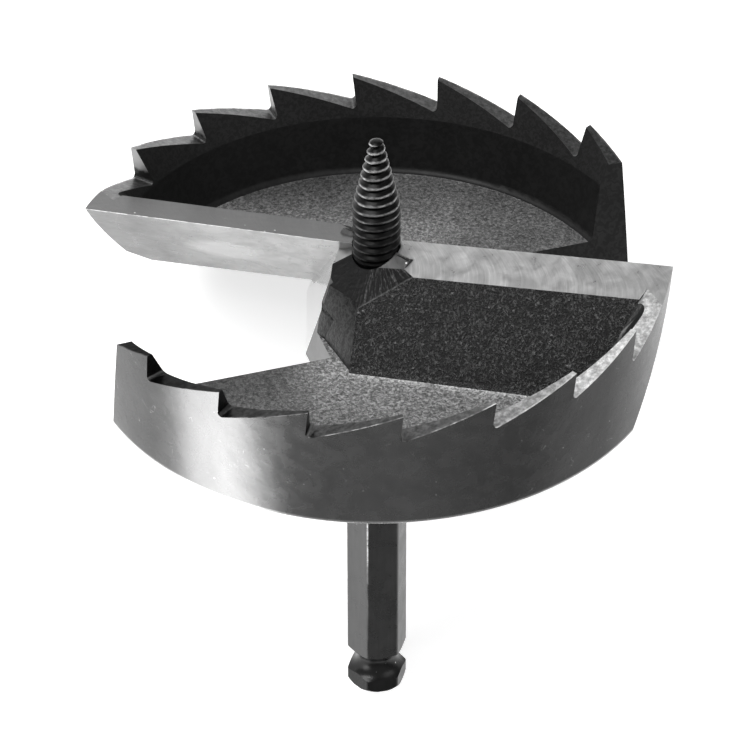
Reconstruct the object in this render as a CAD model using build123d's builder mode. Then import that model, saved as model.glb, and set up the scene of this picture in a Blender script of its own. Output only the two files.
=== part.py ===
# Self-feeding wood hole saw: a forged head with two toothed rim sectors, two raked
# blades and a hex shank, and a threaded feed screw in the hub.
# It is modelled upright, with the shank pointing down the tool's axis, and then laid on
# its side: it rests on the rim's lower edge and on one flat of the shank's end.
# Millimetres. Seen from the cutting side, the tool turns anticlockwise.

import os
from math import atan2, cos, degrees, radians, sin, sqrt, tan

from build123d import *

# Rim and floor
cut_diameter = 117.5
rim_height = 26.4
wall_clearance_angle = 1.9
edge_chamfer = 0.6
floor_height = 7.2
floor_fillet = 1.5
wall_foot_width = 7.1
bevel_foot_width = 4.9
bevel_height = 7.6
tip_land = 1.15

# Teeth, counted clockwise from each blade
tooth_count = 7
tooth_pitch_angle = 17.6
first_tooth_angle = 20.85
tooth_depth = 6.3
tooth_rake_angle = 6.0
first_gullet_depth = 7.7
first_flank_angle = 20.4
gullet_fillet = 0.8

# Blades
blade_azimuth = -12.1
rake_angle = 38.9
leading_foot = 18.7
blade_thickness = 7.3
blade_root_fillet = 2.5
blade_inner_end = -1.3
edge_height = 25.0
edge_rise_angle = 0.93
relief_angle = 13.5
pocket_rounding = 2.0
pocket_overlap = 0.06
foot_corner_width = 3.5
foot_corner_height = 3.5
foot_corner_run = 12.0

# Sides of the chip openings: where each one faces from the blade, how far it stands
# from the tool's axis at the underside, and how far it leans back from upright
hub_top_facing = -2.9
hub_top_reach = 46.1
hub_top_lean = 61.6
hub_upper_facing = -1.2
hub_upper_reach = 18.0
hub_upper_lean = 25.6
hub_side_facing = 12.1
hub_side_reach = 14.2
hub_side_lean = 15.0
hub_corner_facing = 30.3
hub_corner_reach = 14.5
hub_corner_lean = 11.5
sector_end_facing = -60.2
sector_end_reach = -9.3
sector_end_lean = 12.15

# Hub
hub_radius = 11.2
hub_wall_draft = 12.5
ledge_height = 12.4
ledge_width = 0.8
ledge_rounding = 0.5
hub_facet_height = 24.7
hub_facet_rise_along = 16.75
hub_facet_rise_across = 30.55
boss_radius = 13.0
boss_depth = 7.0
boss_end_radius = 9.0

# Shank
shank_length = 87.4
hex_across_flats = 11.11
hex_corner_radius = 0.9
hex_turn_angle = 12.7
groove_centre_depth = 81.1
groove_neck_radius = 4.2
groove_profile_radius = 3.5
shank_end_radius = 5.65
shank_end_chamfer = 1.2

# Feed screw and its seat in the hub
seat_height = 21.4
screw_radius = 4.75
screw_length = 27.8
screw_straight_length = 12.8
screw_shoulder_length = 20.8
screw_shoulder_radius = 2.9
screw_tip_radius = 1.3
screw_foot_chamfer = 0.6
stem_radius = 3.4
stem_length = 12.0
stem_clearance = 0.05
bore_end_clearance = 0.5
seat_clearance = 0.15

# Root of each blade at the hub: its foot and its top, out from the axis and back from it
root_foot_beside_hub = (-10.8, -7.0)
root_foot_behind_blade = (-1.1, -19.6)
root_top_beside_hub = (-7.9, -6.9)
root_top_behind_blade = (-1.2, -10.5)
root_top_height = 18.7

# Worked out from the sizes above
tip_radius = cut_diameter / 2
wall_slope = tan(radians(wall_clearance_angle))
base_radius = tip_radius - rim_height * wall_slope
bevel_foot_height = rim_height - bevel_height
rake_slope = tan(radians(rake_angle))
opposite_blade = blade_azimuth + 180
wall_foot = (base_radius - wall_foot_width, floor_height)
bevel_foot = (base_radius + bevel_foot_height * wall_slope - bevel_foot_width, bevel_foot_height)
land_edge = (tip_radius - tip_land, rim_height)


def upright(azimuth):
    """Upright plane through the axis: it faces azimuth, x runs anticlockwise and y up."""
    turn = radians(azimuth)
    return Plane(
        origin=(0, 0, 0),
        x_dir=(-sin(turn), cos(turn), 0),
        z_dir=(cos(turn), sin(turn), 0),
    )


def leaning_side(azimuth, reach, lean):
    """Plane that faces azimuth, reach from the axis at the underside, leaning back."""
    turn = radians(azimuth)
    return Plane(
        origin=(reach * cos(turn), reach * sin(turn), 0),
        x_dir=(-sin(turn), cos(turn), 0),
        z_dir=(cos(turn), sin(turn), tan(radians(lean))),
    )


def blade_surface(azimuth, height, rise_along, rise_across):
    """Plane over a blade at azimuth: height at the axis, then rises along and across it."""
    along = Vector(cos(radians(azimuth)), sin(radians(azimuth)), 0)
    across = Vector(-along.Y, along.X, 0)
    slope_along = tan(radians(rise_along))
    slope_across = tan(radians(rise_across))
    return Plane(
        origin=(0, 0, height),
        x_dir=along + Vector(0, 0, slope_along),
        z_dir=Vector(0, 0, 1) - along * slope_along - across * slope_across,
    )


blade_section = upright(blade_azimuth)
blade_plan = Plane.XY.rotated((0, 0, blade_azimuth))
edge_lead = edge_height * rake_slope - leading_foot
relief_surface = blade_surface(
    blade_azimuth,
    edge_height - edge_lead * tan(radians(relief_angle)),
    edge_rise_angle,
    relief_angle,
)
hub_facet, opposite_facet = (
    blade_surface(azimuth, hub_facet_height, hub_facet_rise_along, hub_facet_rise_across)
    for azimuth in (blade_azimuth, opposite_blade)
)

# Plane that takes off the lower outer corner of one blade's leading face
foot_reach = sqrt(base_radius ** 2 - leading_foot ** 2)
raised_across = foot_corner_height * rake_slope - leading_foot
raised_reach = sqrt((base_radius + foot_corner_height * wall_slope) ** 2 - raised_across ** 2)
rear_turn = atan2(-leading_foot, foot_reach) - foot_corner_run / base_radius
inner_point = Vector(foot_reach - foot_corner_width, -leading_foot, 0)
to_raised_point = Vector(raised_reach, raised_across, foot_corner_height) - inner_point
to_rear_point = Vector(base_radius * cos(rear_turn), base_radius * sin(rear_turn), 0) - inner_point
foot_corner = Plane(origin=inner_point, x_dir=to_rear_point, z_dir=to_raised_point.cross(to_rear_point))

# Outside form of the head, which every blade and tooth stays within
with BuildPart() as head_envelope:
    with BuildSketch(Plane.XZ):
        with BuildLine():
            Polyline(
                (0, 0),
                (base_radius - edge_chamfer, 0),
                (base_radius + edge_chamfer * wall_slope, edge_chamfer),
                (tip_radius, rim_height),
                (0, rim_height),
                close=True,
            )
        make_face()
    revolve(axis=Axis.Z)

# Hollow inside the rim: a drafted wall, a bevel up to the teeth and a rounded foot
with BuildPart() as rim_hollow:
    with BuildSketch(Plane.XZ):
        with BuildLine():
            Polyline(
                (0, floor_height),
                wall_foot,
                bevel_foot,
                land_edge,
                (0, rim_height),
                close=True,
            )
        make_face()
        foot = vertices().sort_by(Axis.Y)[:2].sort_by(Axis.X)[-1]
        fillet(foot, floor_fillet)
    revolve(axis=Axis.Z)

# One blade: a raked bar with parallel faces, a rounded root behind it, ground relief on
# top, and a facet that drops to the hub
blade_top = rim_height + tip_land
back_foot = -leading_foot - blade_thickness + floor_height * rake_slope
with BuildPart() as blade:
    with BuildSketch(blade_section.offset(blade_inner_end)):
        with BuildLine():
            Polyline(
                (-leading_foot, 0),
                (-leading_foot + blade_top * rake_slope, blade_top),
                (-leading_foot - blade_thickness + blade_top * rake_slope, blade_top),
                (back_foot, floor_height),
                (back_foot - 2 * blade_root_fillet, floor_height),
                (back_foot - 2 * blade_root_fillet, 0),
                close=True,
            )
        make_face()
        root = vertices().sort_by_distance((back_foot, floor_height, 0))[0]
        fillet(root, blade_root_fillet)
    extrude(amount=tip_radius)
    # Rounded corner between the blade's back and the inside of the rim
    for lower_edge, upper_edge in ((wall_foot, bevel_foot), (bevel_foot, land_edge)):
        for radius, height in (lower_edge, upper_edge):
            across = height * rake_slope - leading_foot - blade_thickness
            along = sqrt(radius ** 2 - across ** 2)
            in_blade = (along - pocket_rounding, across + pocket_overlap)
            in_wall = (
                along + pocket_rounding * across / radius + pocket_overlap,
                across - pocket_rounding * along / radius,
            )
            with BuildSketch(blade_plan.offset(height)):
                with BuildLine():
                    TangentArc(in_blade, in_wall, tangent=(1, 0))
                    Polyline(in_wall, (along + tip_land / 2, across + tip_land / 2), in_blade)
                make_face()
        loft(ruled=True)
    # Root in front of the blade, which the chip opening is ground into
    root_height = leading_foot / rake_slope
    with BuildSketch(blade_section):
        with BuildLine():
            Polyline(
                (-leading_foot - blade_thickness / 2, 0),
                (0, 0),
                (0, root_height),
                (-blade_thickness / 2, root_height),
                close=True,
            )
        make_face()
    extrude(amount=hub_upper_reach)
    # Web that joins the blade's inner end to the side of the hub
    for height, beside_hub, behind_blade in (
        (floor_height, root_foot_beside_hub, root_foot_behind_blade),
        (root_top_height, root_top_beside_hub, root_top_behind_blade),
    ):
        with BuildSketch(blade_plan.offset(height)):
            with BuildLine():
                within_blade = (blade_thickness / 2, behind_blade[1] + blade_thickness / 2)
                Polyline((0, 0), beside_hub, behind_blade, within_blade, close=True)
            make_face()
    loft(ruled=True)
    split(bisect_by=relief_surface, keep=Keep.BOTTOM)
    split(bisect_by=hub_facet, keep=Keep.BOTTOM)
    add(head_envelope.part, mode=Mode.INTERSECT)

# Hub above the floor: a drafted wall with a ledge, under a facet that falls away from
# each blade
draft_slope = tan(radians(hub_wall_draft))
hub_foot_radius = hub_radius + ledge_width + ledge_height * draft_slope
with BuildPart() as hub:
    with BuildSketch(Plane.XZ):
        with BuildLine():
            Polyline(
                (0, 0),
                (hub_foot_radius, 0),
                (hub_radius + ledge_width, ledge_height),
                (hub_radius, ledge_height),
                (hub_radius - (rim_height - ledge_height) * draft_slope, rim_height),
                (0, rim_height),
                close=True,
            )
        make_face()
        fillet(vertices().sort_by_distance((hub_radius + ledge_width, ledge_height, 0))[0], ledge_rounding)
    revolve(axis=Axis.Z)
    split(bisect_by=hub_facet, keep=Keep.BOTTOM)
    split(bisect_by=opposite_facet, keep=Keep.BOTTOM)

# One chip opening, right through the head, between a blade's leading face and the end of
# the next rim sector; the hub stands in it with four ground faces
with BuildPart() as hub_side:
    Cylinder(4 * tip_radius, 4 * rim_height)
    split(
        bisect_by=leaning_side(opposite_blade + hub_top_facing, hub_top_reach, hub_top_lean),
        keep=Keep.BOTTOM,
    )
    split(
        bisect_by=leaning_side(opposite_blade + hub_upper_facing, hub_upper_reach, hub_upper_lean),
        keep=Keep.BOTTOM,
    )
    split(
        bisect_by=leaning_side(opposite_blade + hub_side_facing, hub_side_reach, hub_side_lean),
        keep=Keep.BOTTOM,
    )
    split(
        bisect_by=leaning_side(opposite_blade + hub_corner_facing, hub_corner_reach, hub_corner_lean),
        keep=Keep.BOTTOM,
    )
with BuildPart() as chip_opening:
    Cylinder(2 * tip_radius, 4 * rim_height)
    split(bisect_by=leaning_side(opposite_blade + 90, -leading_foot, -rake_angle))
    split(bisect_by=leaning_side(opposite_blade + sector_end_facing, sector_end_reach, sector_end_lean))
    add(hub_side.part, mode=Mode.SUBTRACT)

# Head and shank, forged as one piece
first_gullet = rim_height - first_gullet_depth
gullet = rim_height - tooth_depth
tooth_rake_slope = tan(radians(tooth_rake_angle))
tooth_chord = tip_radius * sin(radians(tooth_pitch_angle))
first_flank_run = first_gullet_depth / tan(radians(first_flank_angle))
notch_start = bevel_foot[0] - tip_land
notch_length = 2 * (tip_radius - notch_start)
with BuildPart() as cutter_head:
    add(head_envelope.part)
    add(rim_hollow.part, mode=Mode.SUBTRACT)
    add(hub.part)
    with PolarLocations(0, 2):
        add(blade.part)
    # Sawtooth notches, each with a rake face that leans over its root and a flank that
    # rises to the tip of the tooth ahead
    for side in (0, 180):
        for tooth in range(tooth_count + 1):
            root_azimuth = blade_azimuth + side - first_tooth_angle - tooth * tooth_pitch_angle
            root_height = first_gullet if tooth == 0 else gullet
            depth_ahead = first_gullet_depth if tooth < 2 else tooth_depth
            run = first_flank_run if tooth == 0 else tooth_chord + depth_ahead * tooth_rake_slope
            above_rim = rim_height + tip_land
            with BuildSketch(upright(root_azimuth).offset(notch_start)):
                with BuildLine():
                    Polyline(
                        (0, root_height),
                        (run, rim_height),
                        (run, above_rim),
                        ((above_rim - root_height) * tooth_rake_slope, above_rim),
                        close=True,
                    )
                make_face()
                fillet(vertices().sort_by(Axis.Y)[0], gullet_fillet)
            extrude(amount=notch_length, mode=Mode.SUBTRACT)
    # The relief ground on each blade runs out over the rim, as far as the first notch
    relief_run = tip_radius * sin(radians(first_tooth_angle)) / 2
    with BuildPart(mode=Mode.PRIVATE) as relief_cut:
        with BuildSketch(relief_surface):
            with Locations((tip_radius, edge_lead)):
                Rectangle(notch_length, 2 * (relief_run + edge_lead))
        extrude(amount=rim_height)
    with PolarLocations(0, 2):
        add(relief_cut.part, mode=Mode.SUBTRACT)
    with PolarLocations(0, 2):
        add(chip_opening.part, mode=Mode.SUBTRACT)
    # The opposite blade's leading face lacks its lower outer corner
    with BuildPart(mode=Mode.PRIVATE) as foot_corner_cut:
        with BuildSketch(foot_corner):
            Rectangle(4 * foot_corner_run, 6 * foot_corner_height)
        extrude(amount=foot_corner_run)
    with PolarLocations(0, 1, start_angle=opposite_blade):
        add(foot_corner_cut.part, mode=Mode.SUBTRACT)
    # Boss and hex shank behind the floor
    with BuildSketch(Plane.XZ):
        with BuildLine():
            Polyline(
                (0, 0),
                (boss_radius, 0),
                (boss_end_radius, -boss_depth),
                (0, -boss_depth),
                close=True,
            )
        make_face()
    revolve(axis=Axis.Z)
    with BuildSketch(Plane.XY.rotated((0, 0, hex_turn_angle))):
        RegularPolygon(hex_across_flats / 2, 6, major_radius=False, rotation=0)
        fillet(vertices(), hex_corner_radius)
    extrude(amount=-shank_length)
    # Ball groove near the shank's end, and the end's chamfered corners
    corner_reach = 2 * hex_across_flats
    with BuildSketch(Plane.XZ):
        with Locations((groove_neck_radius + groove_profile_radius, -groove_centre_depth)):
            Circle(groove_profile_radius)
        with BuildLine():
            Polyline(
                (shank_end_radius, -shank_length),
                (corner_reach, -shank_length),
                (corner_reach, -shank_length + (corner_reach - shank_end_radius) * shank_end_chamfer),
                close=True,
            )
        make_face()
    revolve(axis=Axis.Z, mode=Mode.SUBTRACT)
    # Seat and blind bore for the feed screw
    with BuildSketch(Plane.XY.offset(seat_height)):
        Circle(screw_radius + seat_clearance)
    extrude(amount=rim_height, mode=Mode.SUBTRACT)
    with BuildSketch(Plane.XY.offset(seat_height)):
        Circle(stem_radius + stem_clearance)
    extrude(amount=-(stem_length + bore_end_clearance), mode=Mode.SUBTRACT)

# Feed screw: its thread's outer form, with a plain stem that seats in the hub
with BuildPart() as feed_screw:
    with BuildSketch(Plane.XZ):
        with BuildLine():
            Polyline(
                (0, seat_height - stem_length),
                (stem_radius, seat_height - stem_length),
                (stem_radius, seat_height),
                (screw_radius, seat_height),
                (screw_radius, seat_height + screw_straight_length),
                (screw_shoulder_radius, seat_height + screw_shoulder_length),
                (screw_tip_radius, seat_height + screw_length),
                (0, seat_height + screw_length),
                close=True,
            )
        make_face()
        chamfer(vertices().sort_by(Axis.X)[-2:].sort_by(Axis.Y)[0], screw_foot_chamfer)
        chamfer(vertices().sort_by(Axis.Y)[-2:].sort_by(Axis.X)[-1], screw_tip_radius / 2)
    revolve(axis=Axis.Z)

# Lay the tool on the edge of its rim and on one flat of the shank's end
rim_contact = base_radius + edge_chamfer * wall_slope
shank_contact = hex_across_flats / 2
lying_angle = degrees(atan2(rim_contact - shank_contact, shank_length + edge_chamfer))
laid_down = Rotation(lying_angle - 90, 0, 0) * Rotation(0, 0, -hex_turn_angle)
laid_box = cutter_head.part.moved(laid_down).bounding_box()
to_floor = Pos(-laid_box.center().X, -laid_box.center().Y, -laid_box.min.Z)
resting = to_floor * laid_down

cutter_head.part.move(resting)
feed_screw.part.move(resting)

os.makedirs("parts", exist_ok=True)
cutter_head.part.label = "cutter_head"
export_step(cutter_head.part, "parts/cutter_head.step")
feed_screw.part.label = "feed_screw"
export_step(feed_screw.part, "parts/feed_screw.step")
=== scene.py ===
import math

import bmesh
import bpy
from mathutils import Matrix, Vector


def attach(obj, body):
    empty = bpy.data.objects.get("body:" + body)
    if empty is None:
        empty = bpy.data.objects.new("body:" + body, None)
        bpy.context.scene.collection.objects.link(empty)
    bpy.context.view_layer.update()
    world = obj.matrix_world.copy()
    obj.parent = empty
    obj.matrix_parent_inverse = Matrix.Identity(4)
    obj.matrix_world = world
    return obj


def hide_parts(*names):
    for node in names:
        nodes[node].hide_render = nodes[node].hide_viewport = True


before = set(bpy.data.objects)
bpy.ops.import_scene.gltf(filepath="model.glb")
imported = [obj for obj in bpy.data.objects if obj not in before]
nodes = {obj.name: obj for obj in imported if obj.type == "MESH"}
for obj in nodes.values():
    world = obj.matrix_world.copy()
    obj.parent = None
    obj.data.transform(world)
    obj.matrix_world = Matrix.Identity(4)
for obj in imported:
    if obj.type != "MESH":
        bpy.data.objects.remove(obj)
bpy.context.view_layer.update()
head = nodes["cutter_head"]

# The tool's own frame, in millimetres: z along its axis towards the cutting side
LIE = 30.742607
HEX_TURN = 12.7
SHIFT = Vector((0.0, 0.012764, 0.049452))
TURN = Matrix.Rotation(math.radians(LIE - 90), 3, "X") @ Matrix.Rotation(math.radians(-HEX_TURN), 3, "Z")

# Directions of the two blades round the axis, in degrees
BLADE = -12.1
BLADES = (BLADE, BLADE + 180)
# Outer wall of the rim: radius at the underside, and how far it leans out, in degrees
RIM_FOOT = 57.874
RIM_LEAN = 1.9
# Plane of a blade's back: cosine and sine of its lean, and where the painted highlight along it starts
BACK_LEVEL = 0.7782
BACK_RISE = 0.628
BACK_HIGHLIGHT_FROM = 19.24
# Plane of the relief behind a cutting edge: height on the axis, and its slopes
RELIEF_HEIGHT = 24.6465
RELIEF_SLOPE_ALONG = 0.01623
RELIEF_SLOPE_ACROSS = 0.24008


def to_row(point):
    """Place in the model's frame, in metres, of a point in the tool's own frame."""
    return TURN @ (Vector(point) * 0.001) + SHIFT


def polar(degrees):
    turn = math.radians(degrees)
    return Vector((math.cos(turn), math.sin(turn), 0.0))


# Node helpers
def new_material(name):
    material = bpy.data.materials.new(name)
    material.use_nodes = True
    tree = material.node_tree
    shader = tree.nodes["Principled BSDF"]
    return material, tree, shader


def fill(tree, shader, tone, normal, metallic, rough, shine=0.5):
    tree.links.new(tone, shader.inputs["Base Color"])
    tree.links.new(normal, shader.inputs["Normal"])
    shader.inputs["Metallic"].default_value = metallic
    shader.inputs["Roughness"].default_value = rough
    shader.inputs["Specular IOR Level"].default_value = shine


def node(tree, kind, **values):
    item = tree.nodes.new(kind)
    for key, value in values.items():
        setattr(item, key, value)
    return item


def tool_space(tree):
    """Position in the tool's own frame, in millimetres."""
    position = node(tree, "ShaderNodeTexCoord")
    mapping = node(tree, "ShaderNodeMapping", vector_type="TEXTURE")
    mapping.inputs["Location"].default_value = SHIFT
    mapping.inputs["Rotation"].default_value = TURN.to_euler("XYZ")
    mapping.inputs["Scale"].default_value = (0.001, 0.001, 0.001)
    tree.links.new(position.outputs["Object"], mapping.inputs["Vector"])
    return mapping.outputs["Vector"]


def stretched(tree, vector, turn=(0, 0, 0), scale=(1, 1, 1)):
    mapping = node(tree, "ShaderNodeMapping")
    mapping.inputs["Rotation"].default_value = [math.radians(a) for a in turn]
    mapping.inputs["Scale"].default_value = scale
    tree.links.new(vector, mapping.inputs["Vector"])
    return mapping.outputs["Vector"]


def separated(tree, vector):
    item = node(tree, "ShaderNodeSeparateXYZ")
    tree.links.new(vector, item.inputs[0])
    return item.outputs["X"], item.outputs["Y"], item.outputs["Z"]


def joined(tree, first, second, third=0.0):
    item = node(tree, "ShaderNodeCombineXYZ")
    for socket, value in zip(item.inputs, (first, second, third)):
        if isinstance(value, (int, float)):
            socket.default_value = value
        else:
            tree.links.new(value, socket)
    return item.outputs[0]


def noise(tree, vector, scale, detail=4.0, rough=0.55, distortion=0.0):
    item = node(tree, "ShaderNodeTexNoise")
    item.inputs["Scale"].default_value = scale
    item.inputs["Detail"].default_value = detail
    item.inputs["Roughness"].default_value = rough
    item.inputs["Distortion"].default_value = distortion
    tree.links.new(vector, item.inputs["Vector"])
    return item.outputs["Fac"]


def ramp(tree, factor, stops):
    item = node(tree, "ShaderNodeValToRGB")
    elements = item.color_ramp.elements
    while len(elements) > 1:
        elements.remove(elements[-1])
    elements[0].position = stops[0][0]
    elements[0].color = grey(stops[0][1])
    for place, value in stops[1:]:
        elements.new(place).color = grey(value)
    tree.links.new(factor, item.inputs["Fac"])
    return item.outputs["Color"]


def grey(value):
    return (value, value, value, 1.0)


def math_node(tree, operation, first, second=None):
    item = node(tree, "ShaderNodeMath", operation=operation)
    for socket, value in zip(item.inputs, (first, second)):
        if value is None:
            continue
        if isinstance(value, (int, float)):
            socket.default_value = value
        else:
            tree.links.new(value, socket)
    return item.outputs[0]


def scaled(tree, value, factor, offset=0.0):
    return math_node(tree, "ADD", math_node(tree, "MULTIPLY", value, factor), offset)


def measured(tree, value, start, span):
    """How far a value has come from start, as a share of span."""
    return scaled(tree, value, 1 / span, -start / span)


def roughened(tree, value, pattern, spread):
    """A value moved up and down by a pattern, so that what is drawn from it has ragged edges."""
    return math_node(tree, "ADD", value, scaled(tree, pattern, spread, -spread / 2))


def mix_color(tree, factor, first, second, blend="MIX"):
    item = node(tree, "ShaderNodeMix", data_type="RGBA", blend_type=blend)
    for index, value in ((0, factor), (6, first), (7, second)):
        if isinstance(value, (int, float)):
            item.inputs[index].default_value = value if index == 0 else grey(value)
        else:
            tree.links.new(value, item.inputs[index])
    return item.outputs[2]


def times(tree, tone, factor, stops):
    return mix_color(tree, 1.0, tone, ramp(tree, factor, stops), "MULTIPLY")


def bump(tree, height, strength, distance, normal=None):
    item = node(tree, "ShaderNodeBump")
    item.inputs["Strength"].default_value = strength
    item.inputs["Distance"].default_value = distance
    tree.links.new(height, item.inputs["Height"])
    if normal is not None:
        tree.links.new(normal, item.inputs["Normal"])
    return item.outputs["Normal"]


# Coordinates that the finishes are laid out in
def blade_space(tree, place):
    """Place in millimetres with x turned to run along the right blade."""
    return separated(tree, stretched(tree, place, turn=(0, 0, -BLADE)))


def folded(tree, place):
    """Distance along the nearer blade and across it, and height, in millimetres."""
    east, north, height = blade_space(tree, place)
    side = math_node(tree, "SIGN", east)
    return math_node(tree, "ABSOLUTE", east), math_node(tree, "MULTIPLY", north, side), height


def ring_space(tree, place):
    """Angle clockwise from the nearer blade in half turns, radius and height."""
    east, north, height = separated(tree, place)
    angle = math_node(tree, "ARCTAN2", north, east)
    behind = math_node(tree, "SUBTRACT", math.radians(BLADE), angle)
    behind = math_node(tree, "FLOORED_MODULO", math_node(tree, "DIVIDE", behind, math.pi), 1.0)
    east_squared = math_node(tree, "MULTIPLY", east, east)
    north_squared = math_node(tree, "MULTIPLY", north, north)
    radius = math_node(tree, "SQRT", math_node(tree, "ADD", east_squared, north_squared))
    return behind, radius, height


# Patterns that several finishes share
def specks(tree, place, scale, size, share):
    """Small round dots, one in some of the cells."""
    item = node(tree, "ShaderNodeTexVoronoi")
    item.inputs["Scale"].default_value = scale
    tree.links.new(place, item.inputs["Vector"])
    chance = node(tree, "ShaderNodeSeparateColor")
    tree.links.new(item.outputs["Color"], chance.inputs[0])
    chosen = math_node(tree, "GREATER_THAN", chance.outputs["Red"], 1 - share)
    dot = ramp(tree, item.outputs["Distance"], [(size * 0.5, 1.0), (size, 0.0)])
    return math_node(tree, "MULTIPLY", dot, chosen)


def veins(tree, place, scale, distortion):
    """Distance from the middle level of a noise, which is nought along winding lines."""
    worms = noise(tree, place, scale, 2, 0.5, distortion)
    return math_node(tree, "ABSOLUTE", math_node(tree, "SUBTRACT", worms, 0.5))


def scratches(tree, place, scale, width, cover):
    """Thin wandering lines that come and go."""
    line = ramp(tree, veins(tree, place, scale, 0.6), [(0.0, 1.0), (width, 0.0)])
    shown = ramp(tree, noise(tree, place, scale * 1.9, 2, 0.5), [(cover, 0.0), (cover + 0.06, 1.0)])
    return math_node(tree, "MULTIPLY", line, shown)


# Painted highlight: a light line along the edge between a blade's back and the hub
def ridge(tree, place):
    nearest = None
    for blade in BLADES:
        turn = math.radians(blade - 90)
        facing = (BACK_LEVEL * math.cos(turn), BACK_LEVEL * math.sin(turn), BACK_RISE)
        reach = node(tree, "ShaderNodeVectorMath", operation="DOT_PRODUCT")
        tree.links.new(place, reach.inputs[0])
        reach.inputs[1].default_value = facing
        close = measured(tree, reach.outputs["Value"], BACK_HIGHLIGHT_FROM, 1)
        close = ramp(tree, close, [(0.82, 0.0), (0.95, 1.0)])
        nearest = close if nearest is None else math_node(tree, "MAXIMUM", nearest, close)
    broken = ramp(tree, noise(tree, place, 0.9, 3, 0.6), [(0.35, 0.3), (0.6, 1.0)])
    return math_node(tree, "MULTIPLY", nearest, broken)


# Bright or grey metal
def steel(name, tone_of, rough, metallic=0.92, dents=0.3, cloud_rough=0.06, edge=1.0):
    """tone_of gives the colour, the pattern of the grinding marks and their depth in metres."""
    material, tree, shader = new_material(name)
    place = tool_space(tree)
    clouds = noise(tree, place, 0.3, 4, 0.6, 0.5)
    tone, marks, mark_depth = tone_of(tree, place, clouds)
    soft = bump(tree, noise(tree, place, 0.1, 3, 0.5), dents, 0.0006)
    fill(tree, shader, tone, bump(tree, marks, 0.6, mark_depth, soft), metallic, rough)
    shader.inputs["Specular Tint"].default_value = grey(edge)
    gloss = ramp(tree, clouds, [(0.3, rough - cloud_rough), (0.7, rough + cloud_rough)])
    tree.links.new(gloss, shader.inputs["Roughness"])
    return material


# Outside of the rim: smooth, clouded, with a few specks and scratches, and painted shade round most of the
# ring
def outer_tone(tree, place, clouds):
    behind, _, height = ring_space(tree, place)
    tone = ramp(tree, noise(tree, place, 0.08, 4, 0.55, 0.8), [(0.3, 0.155), (0.7, 0.19)])
    tone = times(tree, tone, clouds, [(0.35, 0.94), (0.65, 1.06)])
    # Painted shade: darker round most of the ring, full tone only 0.4 to 0.6 of a half turn behind a blade
    painted_shade_round = [(0.0, 0.3), (0.05, 0.19), (0.16, 0.16), (0.27, 0.55), (0.4, 1.0), (0.6, 1.0), (0.7, 0.36)]
    tone = times(tree, tone, behind, painted_shade_round)
    large = specks(tree, place, 0.42, 0.09, 0.07)
    small = specks(tree, place, 0.8, 0.14, 0.03)
    lines = math_node(tree, "MULTIPLY", scratches(tree, place, 0.22, 0.004, 0.6), 0.5)
    marks = math_node(tree, "MAXIMUM", math_node(tree, "MAXIMUM", large, small), lines)
    tone = mix_color(tree, marks, tone, 0.55)
    foot = ramp(tree, measured(tree, height, 0, 2), [(0.4, 0.75), (0.56, 0.0)])
    return mix_color(tree, foot, tone, 0.6), clouds, 0.00003


# Leading face of a blade: bright and clouded, with painted shade towards the tip, a painted highlight in an
# oval and a fine painted highlight under the cutting edge
def face_tone(tree, place, clouds):
    along, _, height = folded(tree, place)
    tone = ramp(tree, noise(tree, place, 0.11, 4, 0.6, 1.0), [(0.34, 0.28), (0.62, 0.4)])
    tone = times(tree, tone, clouds, [(0.35, 0.88), (0.65, 1.1)])
    # Painted shade: darker towards the tip
    tone = times(tree, tone, measured(tree, along, 0, 60), [(0.2, 1.15), (0.55, 0.93), (0.8, 0.37)])
    # Painted highlight: a lighter oval, 33 mm out along the blade and 12 mm up
    reach = math_node(tree, "POWER", measured(tree, along, 33, 9), 2)
    rise = math_node(tree, "POWER", measured(tree, height, 12, 5), 2)
    highlight_oval = roughened(tree, math_node(tree, "ADD", reach, rise), clouds, 1.2)
    highlight_oval = ramp(tree, highlight_oval, [(0.35, 1.0), (1.0, 0.0)])
    tone = mix_color(tree, scaled(tree, highlight_oval, 0.5), tone, 0.6)
    # Painted highlight: a bright line just under the cutting edge, broken here and there
    edge = scaled(tree, along, 0.0162, 25.0)
    under = measured(tree, math_node(tree, "SUBTRACT", height, edge), -1, 1)
    edge_highlight = ramp(tree, under, [(0.68, 0.0), (0.84, 0.75)])
    whole = ramp(tree, noise(tree, place, 0.5, 2, 0.5), [(0.4, 0.2), (0.5, 1.0)])
    tone = mix_color(tree, math_node(tree, "MULTIPLY", edge_highlight, whole), tone, 0.95)
    fine = noise(tree, joined(tree, scaled(tree, along, 0.15), scaled(tree, height, 2.0)), 1.0, 3, 0.6)
    lines = scratches(tree, place, 0.16, 0.005, 0.55)
    return mix_color(tree, scaled(tree, lines, 0.25), tone, 0.3), fine, 0.00002


# Relief behind a cutting edge, crossed by the curved marks of the grinding wheel
def arcs(tree, place):
    """The fine marks, and the broad bands that they lie in."""
    along, across, _ = folded(tree, place)
    bend = math_node(tree, "POWER", measured(tree, across, -7, 8.5), 2)
    sweep = math_node(tree, "ADD", along, math_node(tree, "MULTIPLY", bend, 4.5))
    fine = noise(tree, joined(tree, scaled(tree, sweep, 2.2), scaled(tree, across, 0.12)), 1.0, 4, 0.7)
    broad = noise(tree, joined(tree, scaled(tree, sweep, 0.42), scaled(tree, across, 0.05)), 1.0, 3, 0.6)
    return fine, broad


# Lit copy of the relief, for the right blade: painted light
def lit_relief_tone(tree, place, clouds):
    fine, broad = arcs(tree, place)
    tone = ramp(tree, fine, [(0.3, 0.42), (0.62, 0.54), (0.76, 0.74)])
    tone = times(tree, tone, broad, [(0.35, 0.88), (0.6, 1.0), (0.7, 1.12)])
    return times(tree, tone, clouds, [(0.3, 0.85), (0.7, 1.12)]), fine, 0.00005


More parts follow.
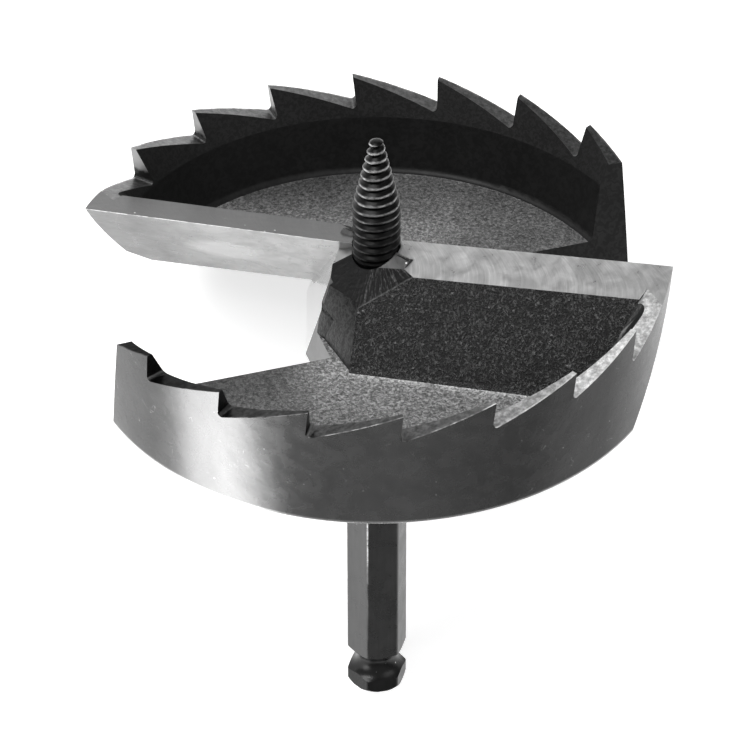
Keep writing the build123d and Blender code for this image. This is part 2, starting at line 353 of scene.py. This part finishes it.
# Shaded copy of the relief, darker, for the left blade and the step beside the screw: painted shade
def shaded_relief_tone(tree, place, clouds):
    fine, _ = arcs(tree, place)
    tone = ramp(tree, fine, [(0.3, 0.062), (0.7, 0.08)])
    tone = times(tree, tone, clouds, [(0.3, 0.8), (0.7, 1.15)])
    return mix_color(tree, specks(tree, place, 0.5, 0.12, 0.12), tone, 0.7), fine, 0.00003


# Tooth flanks, blotched: painted light makes them bright behind the near blade, painted shade dark further
# round and dim on the far side
def near_flank_tone(tree, place, clouds):
    return flank_tone(tree, place, [(0.2, 1.0), (0.225, 0.4), (0.3, 0.35), (0.325, 0.08), (0.7, 0.0)])


def far_flank_tone(tree, place, clouds):
    return flank_tone(tree, place, [(0.04, 0.1), (0.11, 0.18), (0.3, 0.12), (0.5, 0.05)])


def flank_tone(tree, place, painted_light_round):
    behind, radius, height = ring_space(tree, place)
    blotches = noise(tree, place, 0.9, 4, 0.7)
    bright = ramp(tree, blotches, [(0.35, 0.28), (0.5, 0.5), (0.62, 0.8)])
    dark = ramp(tree, blotches, [(0.35, 0.02), (0.65, 0.05)])
    # Painted light and shade: lighter or darker with the turn round the ring
    tone = mix_color(tree, ramp(tree, behind, painted_light_round), dark, bright)
    # Rubbed along the outer edge
    wall = scaled(tree, height, math.tan(math.radians(RIM_LEAN)), RIM_FOOT)
    outside = measured(tree, math_node(tree, "SUBTRACT", radius, wall), -1, 1)
    rim = ramp(tree, outside, [(0.55, 0.0), (0.8, 1.0)])
    wear_and_highlight = ramp(tree, noise(tree, place, 0.35, 3, 0.6), [(0.42, 0.05), (0.62, 0.85)])
    rubbed = math_node(tree, "MULTIPLY", rim, wear_and_highlight)
    rubbed = math_node(tree, "MULTIPLY", rubbed, ramp(tree, behind, [(0.3, 1.0), (0.6, 0.25)]))
    return mix_color(tree, rubbed, tone, 0.6), blotches, 0.00006


# Chamfer round the underside: a narrow bright ground edge
def edge_tone(tree, place, clouds):
    return ramp(tree, clouds, [(0.3, 0.3), (0.7, 0.62)]), clouds, 0.00003


# Roots of the near rim's notches: dark grey, lighter than the far roots as painted light
def root_tone(tree, place, clouds):
    return ramp(tree, clouds, [(0.3, 0.02), (0.7, 0.12)]), clouds, 0.00003


# Rake faces of the far teeth: ground light above, black in the notch below; the near rakes stay black, so
# the light part is painted light
def rake_tone(tree, place, clouds):
    _, _, height = ring_space(tree, place)
    ragged = roughened(tree, height, noise(tree, place, 0.9, 3, 0.6), 1.2)
    tone = ramp(tree, measured(tree, ragged, 20, 4), [(0.24, 0.004), (0.4, 0.2), (0.9, 0.3)])
    return tone, clouds, 0.00003


# Ground sides of the hub: the brightest facets, with fine marks along the axis
def side_tone(tree, place, clouds):
    fine = noise(tree, stretched(tree, place, scale=(0.6, 0.6, 0.12)), 1.0, 4, 0.6)
    return ramp(tree, fine, [(0.3, 0.74), (0.62, 0.84)]), fine, 0.00003


# Corners of the hub beside them: grey, with light specks
def corner_tone(tree, place, clouds):
    tone = ramp(tree, clouds, [(0.3, 0.13), (0.7, 0.2)])
    return mix_color(tree, specks(tree, place, 0.9, 0.14, 0.2), tone, 0.5), clouds, 0.00004


# Shank: dark drawn steel, darkest at its end, with a painted highlight along one corner
def shank_tone(tree, place, clouds):
    behind, _, height = ring_space(tree, place)
    drawn = noise(tree, stretched(tree, place, scale=(1.2, 1.2, 0.08)), 1.0, 4, 0.7)
    tone = ramp(tree, drawn, [(0.3, 0.08), (0.7, 0.095)])
    tone = times(tree, tone, clouds, [(0.3, 0.94), (0.7, 1.05)])
    tone = times(tree, tone, measured(tree, height, -86, 10), [(0.5, 0.3), (0.75, 1.0)])
    # Painted highlight along one rounded corner of the hex, broken here and there
    highlit_corner = 0.5289
    aside = math_node(tree, "ABSOLUTE", scaled(tree, behind, 1.0, -highlit_corner))
    line = ramp(tree, aside, [(0.003, 1.0), (0.01, 0.0)])
    lasting = [(0.1, 0.0), (0.42, 0.2), (0.48, 1.0), (0.9, 1.0)]
    stretch = ramp(tree, measured(tree, height, -80, 60), lasting)
    broken = ramp(tree, clouds, [(0.35, 0.3), (0.5, 1.0)])
    wear_and_highlight = math_node(tree, "MULTIPLY", line, math_node(tree, "MULTIPLY", stretch, broken))
    tone = mix_color(tree, wear_and_highlight, tone, 1.0)
    return mix_color(tree, specks(tree, place, 0.5, 0.1, 0.12), tone, 0.6), drawn, 0.00001


# Forging skin: nearly black, with a fine pebbled relief that catches the light
def pebbled(name, dark, light, scale, depth, rough, metallic=0.6, shine=0.5, ridge_highlight=False):
    material, tree, shader = new_material(name)
    place = tool_space(tree)
    worms = noise(tree, place, scale, 1, 0.5, 0.8)
    grain = noise(tree, place, scale * 2.6, 2, 0.6)
    relief = math_node(tree, "ADD", worms, scaled(tree, grain, 0.3))
    tone = ramp(tree, worms, [(0.43, dark), (0.58, light)])
    tone = times(tree, tone, noise(tree, place, 0.12, 3, 0.5), [(0.3, 0.8), (0.7, 1.2)])
    if ridge_highlight:
        # Painted highlight along the edge between a blade's back and the hub
        tone = mix_color(tree, ridge(tree, place), tone, 0.12)
    fill(tree, shader, tone, bump(tree, relief, 1.0, depth), metallic, rough, shine)
    return material


# Back of a blade: black, with a dense net of fine raised veins, their crests painted lighter as a painted
# highlight
def veined_back():
    material, tree, shader = new_material("forged_back")
    place = tool_space(tree)
    vein = veins(tree, place, 1.5, 0.5)
    # Painted highlight: lighter along the raised veins
    tone = ramp(tree, vein, [(0.0, 0.08), (0.04, 0.045), (0.09, 0.01), (0.2, 0.003)])
    tone = times(tree, tone, noise(tree, place, 0.5, 3, 0.6), [(0.35, 0.85), (0.65, 1.2)])
    raised = ramp(tree, vein, [(0.0, 1.0), (0.12, 0.0)])
    fill(tree, shader, tone, bump(tree, raised, 1.0, 0.0002), metallic=0.6, rough=0.33, shine=0.45)
    return material


# Floor of a pocket: grey with a fine grain, with painted shade towards the left and a painted highlight in
# two places
def pocket_floor():
    material, tree, shader = new_material("forged_floor")
    place = tool_space(tree)
    east, north, height = blade_space(tree, place)
    worms = noise(tree, place, 1.7, 3, 0.6, 0.7)
    tone = ramp(tree, worms, [(0.36, 0.035), (0.5, 0.09), (0.66, 0.2)])
    tone = times(tree, tone, noise(tree, place, 0.1, 3, 0.5), [(0.3, 0.75), (0.7, 1.25)])
    # Painted shade: darker towards the left
    tone = times(tree, tone, measured(tree, east, -30, 60), [(0.0, 0.4), (0.3, 0.68), (0.45, 1.0)])
    # Painted highlight along the blade's root
    across = math_node(tree, "ABSOLUTE", north)
    ragged = roughened(tree, across, noise(tree, place, 0.5, 3, 0.6), 4.0)
    root = ramp(tree, measured(tree, ragged, 21.0, 30), [(0.0, 0.9), (0.1, 0.6), (0.45, 0.2), (0.8, 0.0)])
    beside = math_node(tree, "MULTIPLY", east, math_node(tree, "SIGN", north))
    leading = ramp(tree, measured(tree, beside, 30, -60), [(0.27, 0.0), (0.43, 1.0)])
    bright = ramp(tree, worms, [(0.36, 0.08), (0.5, 0.24), (0.66, 0.6)])
    tone = mix_color(tree, math_node(tree, "MULTIPLY", root, leading), tone, bright)
    # Painted highlight where it turns up into the wall, broken here and there
    turned_up = ramp(tree, measured(tree, height, 7, 2), [(0.08, 0.0), (0.2, 1.0), (0.45, 1.0), (0.6, 0.0)])
    highlight_breaks = ramp(tree, noise(tree, place, 0.7, 3, 0.6), [(0.42, 0.0), (0.6, 1.0)])
    line = math_node(tree, "MULTIPLY", turned_up, highlight_breaks)
    tone = mix_color(tree, math_node(tree, "MULTIPLY", line, 0.55), tone, 0.4)
    fill(tree, shader, tone, bump(tree, worms, 0.9, 0.00025), metallic=0.5, rough=0.5)
    return material


# Hub: black, with fine bright marks that fan out from the screw
def turned_hub():
    material, tree, shader = new_material("turned_hub")
    place = tool_space(tree)
    behind, radius, height = ring_space(tree, place)
    fan = joined(tree, scaled(tree, behind, 70.0), scaled(tree, radius, 0.3), scaled(tree, height, 0.1))
    rays = noise(tree, fan, 1.0, 3, 0.6, 0.4)
    grain = noise(tree, place, 1.4, 4, 0.6)
    lined = ramp(tree, behind, [(0.5, 1.0), (0.57, 0.12)])
    bright = times(tree, ramp(tree, rays, [(0.5, 0.0), (0.72, 0.06)]), lined, [(0.0, 0.0), (1.0, 1.0)])
    bright = times(tree, bright, grain, [(0.4, 0.25), (0.6, 1.2)])
    # Painted highlight along the edge between a blade's back and the hub
    bright = mix_color(tree, ridge(tree, place), bright, 0.06)
    tone = mix_color(tree, 1.0, bright, 0.003, "ADD")
    fine = bump(tree, grain, 0.5, 0.0002)
    relief = math_node(tree, "MULTIPLY", rays, lined)
    fill(tree, shader, tone, bump(tree, relief, 0.6, 0.0002, fine), metallic=0.6, rough=0.38, shine=0.2)
    return material


surfaces = [
    veined_back(),
    pocket_floor(),
    pebbled("forged_wall", 0.004, 0.007, 0.9, 0.00003, 0.5, metallic=0.2, shine=0.22),
    steel("ground_outer", outer_tone, 0.27, dents=0.18, cloud_rough=0.03),
    steel("ground_face", face_tone, 0.3),
    steel("lit_relief", lit_relief_tone, 0.33),
    steel("near_flank", near_flank_tone, 0.36, metallic=1.0, edge=0.4),
    turned_hub(),
    steel("shank_steel", shank_tone, 0.3, dents=0.05),
    pebbled("forged_bevel", 0.004, 0.009, 1.4, 0.00004, 0.5, metallic=0.2, shine=0.2),
    pebbled("dark_rake", 0.004, 0.01, 1.2, 0.0001, 0.4),
    pebbled("dark_end", 0.013, 0.022, 0.9, 0.00006, 0.42, metallic=0.3, shine=0.35),
    pebbled("forged_hub_wall", 0.004, 0.02, 1.3, 0.00008, 0.3, metallic=0.5, shine=0.4, ridge_highlight=True),
    steel("narrow_edge", edge_tone, 0.3),
    steel("shaded_relief", shaded_relief_tone, 0.34),
    steel("hub_side", side_tone, 0.2, metallic=1.0, cloud_rough=0.03),
    steel("hub_corner", corner_tone, 0.36),
    steel("far_flank", far_flank_tone, 0.4),
    steel("far_rake", rake_tone, 0.4, metallic=0.6),
    steel("notch_root", root_tone, 0.35),
]
(BACK, FLOOR, WALL, OUTER, FACE, RELIEF, FLANK, HUB, SHANK, BEVEL, RAKE, END, HUB_WALL, EDGE, SHADED_RELIEF,
 HUB_SIDE, HUB_CORNER, FAR_FLANK, FAR_RAKE, ROOT) = range(len(surfaces))

# Facets known by their plane: azimuth from the blade, reach at the axis and lean from upright
FITTED = (
    (FACE, 90, -18.7, -38.9),
    (HUB_SIDE, -1.2, 18.0, 25.6),
    (HUB_SIDE, 12.1, 14.2, 15.0),
    (FACE, -2.9, 46.1, 61.6),
    (HUB_CORNER, 30.3, 14.5, 11.5),
    (END, 119.8, 9.3, -12.15),
)
# What counts as on such a plane: cosine between the normals, and distance
PLANE_TURN = 0.998
PLANE_GAP = 0.35


def plane(azimuth, reach, lean):
    """Normal and distance from the origin of a plane that leans back from upright."""
    turn, tip = math.radians(azimuth), math.radians(lean)
    normal = Vector((math.cos(tip) * math.cos(turn), math.cos(tip) * math.sin(turn), math.sin(tip)))
    return normal, reach * math.cos(tip)


fitted_planes = [
    (surface, plane(blade + azimuth, reach, lean))
    for surface, azimuth, reach, lean in FITTED
    for blade in BLADES
]


def fitted_surface(centre, normal):
    for surface, (facing, distance) in fitted_planes:
        if abs(normal.dot(facing)) > PLANE_TURN and abs(centre.dot(facing) - distance) < PLANE_GAP:
            return surface
    return None


def over_relief(centre, blade):
    """Distance of a point along a blade, across it, and up from the plane of its relief."""
    along, across = centre.dot(polar(blade)), centre.dot(polar(blade + 90))
    height = RELIEF_HEIGHT + along * RELIEF_SLOPE_ALONG + across * RELIEF_SLOPE_ACROSS
    return along, across, centre.z - height


def on_relief(centre):
    """Whether a point lies on the relief ground on either blade."""
    return any(abs(over_relief(centre, blade)[2]) < 0.12 for blade in BLADES)


def beside_screw(centre):
    """Whether a point lies on the hub's narrow step between the screw and the relief."""
    for blade in BLADES:
        along, across, above = over_relief(centre, blade)
        if 3 < along < 12 and across > -5 and -1.0 < above < 0.6:
            return True
    return False


def surface_of(centre, normal):
    """Finish of a facet with this centre and normal, both in the tool's own frame."""
    radius = math.hypot(centre.x, centre.y)
    outward = (normal.x * centre.x + normal.y * centre.y) / max(radius, 1e-6)
    level = normal.z > 0.9
    outermost = radius > 56.0
    toothed = centre.z > 17.5
    far = centre.y > 0
    if centre.z < -0.3:
        return SHANK
    fitted = fitted_surface(centre, normal)
    if fitted is not None:
        return fitted
    # The underside is as dark as the sectors' ends
    if centre.z < 0.05:
        return END
    if outermost and centre.z < 0.6 and normal.z < -0.3:
        return EDGE
    if outermost and outward > 0.6:
        return OUTER
    # The right blade's relief takes the lit copy and the left blade's the shaded copy: painted light and
    # shade
    if on_relief(centre) and level:
        return RELIEF if centre.x > 0 else SHADED_RELIEF
    if beside_screw(centre):
        return SHADED_RELIEF
    # Flanks on the far side take the dimmer copy: painted shade
    if toothed and radius > 46 and level:
        return FAR_FLANK if far else FLANK
    # Rake faces and the roots of the notches under them; far and near differ as painted light and shade
    if toothed and radius > 50 and abs(outward) < 0.3:
        if normal.z > 0.3 and centre.z < 21:
            return RAKE if far else ROOT
        return FAR_RAKE if far else RAKE
    if radius > 45 and outward < -0.3:
        return BEVEL if centre.z > 18.0 else WALL
    if radius < 16 and centre.z > 15 and normal.z > 0.7:
        return HUB
    if level and centre.z < 10:
        return FLOOR
    # The hub's wall faces away from the blade that it carries
    out, side = polar(BLADE), polar(BLADE + 90)
    away = normal.dot(out) if centre.dot(side) < 0 else -normal.dot(out)
    return HUB_WALL if radius < 18 and away < -0.35 else BACK


def dress(obj):
    to_tool = TURN.transposed()
    obj.data.materials.clear()
    for item in surfaces:
        obj.data.materials.append(item)
    for face in obj.data.polygons:
        centre = to_tool @ (face.center - SHIFT) * 1000
        face.material_index = surface_of(centre, to_tool @ face.normal)


dress(head)


# Feed screw with its thread, tapered to a blunt point
SEAT = 21.4
SCREW_LENGTH = 27.8


def black_thread():
    material, tree, shader = new_material("black_thread")
    place = tool_space(tree)
    _, _, height = separated(tree, place)
    # Crest lines lighter, more so towards the tip and hardly at all near the seat
    crests = node(tree, "ShaderNodeAttribute", attribute_name="crest")
    broken = ramp(tree, noise(tree, place, 0.9, 3, 0.6), [(0.35, 0.3), (0.6, 1.0)])
    edge = math_node(tree, "MULTIPLY", crests.outputs["Fac"], broken)
    height = measured(tree, height, SEAT, SCREW_LENGTH)
    bright = ramp(tree, height, [(0.0, 0.015), (0.3, 0.12), (0.55, 0.7), (1.0, 1.0)])
    tone = mix_color(tree, edge, 0.004, bright)
    pits = bump(tree, noise(tree, place, 2.2, 3, 0.6), 0.3, 0.0001)
    fill(tree, shader, tone, pits, metallic=0.85, rough=0.36)
    return material


def screw_radius(rise):
    """Radius over the thread's crests, at a height over the seat."""
    foot, foot_round, body = 3.85, 0.9, 4.75
    straight, shoulder, neck, tip = 12.8, 20.8, 2.9, 1.3
    point, point_radius, point_drop = 0.65, 1.46, 0.8
    if rise < foot_round:
        return foot + foot_round * math.sqrt(max(0.0, 1 - (1 - rise / foot_round) ** 2))
    if rise < straight:
        return body
    if rise < shoulder:
        return body + (neck - body) * (rise - straight) / (shoulder - straight)
    if rise < SCREW_LENGTH - point:
        return neck + (tip - neck) * (rise - shoulder) / (SCREW_LENGTH - shoulder)
    drop = (rise - SCREW_LENGTH + point) / point
    return point_radius - point_drop * drop * drop


def thread_screw():
    pitch, depth = 1.8, 0.62
    thread_from, thread_to = 1.2, SCREW_LENGTH - 0.5
    stem_radius, stem_length = 3.4, 12.0
    around, rows = 72, 210
    turns = [2 * math.pi * step / around for step in range(around)]
    mesh = bmesh.new()
    crest = mesh.verts.layers.float.new("crest")

    def vertex(radius, turn, height):
        return mesh.verts.new(to_row((radius * math.cos(turn), radius * math.sin(turn), height)))

    def bridge(low, high):
        for step in range(around):
            after = (step + 1) % around
            mesh.faces.new((low[step], low[after], high[after], high[step]))

    rings = []
    for row in range(rows + 1):
        rise = SCREW_LENGTH * row / rows
        radius = screw_radius(rise)
        cut = 1.0 if thread_from < rise < thread_to else 0.0
        ring = []
        for turn in turns:
            phase = (rise / pitch - turn / (2 * math.pi)) % 1.0
            flank = min(1.0, max(0.0, 1 - abs(phase - 0.5) / 0.5) * 1.25)
            sink = min(depth, radius * 0.3) * (1 - flank) * cut
            vert = vertex(radius - sink, turn, SEAT + rise)
            vert[crest] = max(0.0, 1 - abs(phase - 0.5) / 0.15) * cut
            ring.append(vert)
        rings.append(ring)
    for low, high in zip(rings, rings[1:]):
        bridge(low, high)
    mesh.faces.new(rings[-1])
    upper = [vertex(stem_radius, turn, SEAT) for turn in turns]
    lower = [vertex(stem_radius, turn, SEAT - stem_length) for turn in turns]
    bridge(upper, rings[0])
    bridge(lower, upper)
    mesh.faces.new(list(reversed(lower)))
    bmesh.ops.recalc_face_normals(mesh, faces=mesh.faces)
    data = bpy.data.meshes.new("thread")
    mesh.to_mesh(data)
    mesh.free()
    for face in data.polygons:
        face.use_smooth = True
    piece = bpy.data.objects.new("threaded_feed_screw", data)
    bpy.context.scene.collection.objects.link(piece)
    data.materials.append(black_thread())
    return piece


screw = thread_screw()
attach(screw, "root")
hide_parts("feed_screw")
nodes["feed_screw"].data.materials.clear()
nodes["feed_screw"].data.materials.append(black_thread())


# Studio: pale floor that stays white in view and in reflections
def floor_material():
    material, tree, shader = new_material("pale_floor")
    shader.inputs["Base Color"].default_value = grey(0.86)
    shader.inputs["Roughness"].default_value = 0.9
    rays = node(tree, "ShaderNodeLightPath")
    shown = math_node(tree, "MAXIMUM", rays.outputs["Is Camera Ray"], rays.outputs["Is Glossy Ray"])
    glow = node(tree, "ShaderNodeEmission")
    glow.inputs["Color"].default_value = grey(1.0)
    tree.links.new(math_node(tree, "MULTIPLY", shown, 0.55), glow.inputs["Strength"])
    add = node(tree, "ShaderNodeAddShader")
    out = tree.nodes["Material Output"]
    tree.links.new(shader.outputs[0], add.inputs[0])
    tree.links.new(glow.outputs[0], add.inputs[1])
    tree.links.new(add.outputs[0], out.inputs["Surface"])
    return material


bpy.ops.mesh.primitive_plane_add(size=6, location=(0, 0, 0))
floor = bpy.context.object
floor.name = "studio_floor"
floor.data.materials.append(floor_material())

# Sky: white in view, a soft dome that is lighter above for all else
world = bpy.data.worlds.new("studio")
bpy.context.scene.world = world
world.use_nodes = True
sky = world.node_tree
rays = node(sky, "ShaderNodeLightPath")
direction = node(sky, "ShaderNodeTexCoord")
_, _, upward = separated(sky, direction.outputs["Generated"])
dome = ramp(sky, upward, [(0.0, 0.24), (0.35, 0.3), (0.7, 0.5)])
shown = mix_color(sky, rays.outputs["Is Camera Ray"], dome, 1.0)
sky.links.new(shown, sky.nodes["Background"].inputs["Color"])
sky.nodes["Background"].inputs["Strength"].default_value = 1.0


def softbox(name, toward, distance, size, power, aim=(0, 0, 5)):
    """Area lamp that looks at aim from the direction of toward, in the tool's own frame."""
    data = bpy.data.lights.new(name, "AREA")
    data.shape = "RECTANGLE"
    data.size, data.size_y = size
    data.energy = power
    lamp = bpy.data.objects.new(name, data)
    bpy.context.scene.collection.objects.link(lamp)
    direction = (TURN @ Vector(toward)).normalized()
    lamp.location = to_row(aim) + direction * distance
    lamp.rotation_euler = direction.to_track_quat("Z", "Y").to_euler()


softbox("key", (-0.45, -0.35, 1.0), 0.9, (0.5, 0.5), 9)
softbox("fill", (0.8, -0.5, 0.5), 1.0, (0.5, 0.7), 1.5)
softbox("low_strip", (-0.713, -0.251, -0.656), 0.17, (0.1, 0.075), 0.12, aim=(-18.5, -53.5, 12))

# Camera in the photograph's place
camera_data = bpy.data.cameras.new("view")
camera_data.lens = 217.856
camera_data.sensor_width = 36
camera_data.clip_start = 0.01
camera = bpy.data.objects.new("view", camera_data)
bpy.context.scene.collection.objects.link(camera)
eye = (0, -722.235336, 537.006629)
look = Vector((-0.00125923, 0.79886992, -0.60150251))
right = Vector((0.999998929, 0.000557498, -0.001353037))
up = Vector((0.000745564, 0.601503566, 0.798869767))
axes = Matrix((TURN @ right, TURN @ up, TURN @ -look)).transposed()
camera.matrix_world = Matrix.Translation(to_row(eye)) @ axes.to_4x4()
bpy.context.scene.camera = camera

bpy.context.scene.view_settings.view_transform = "Standard"
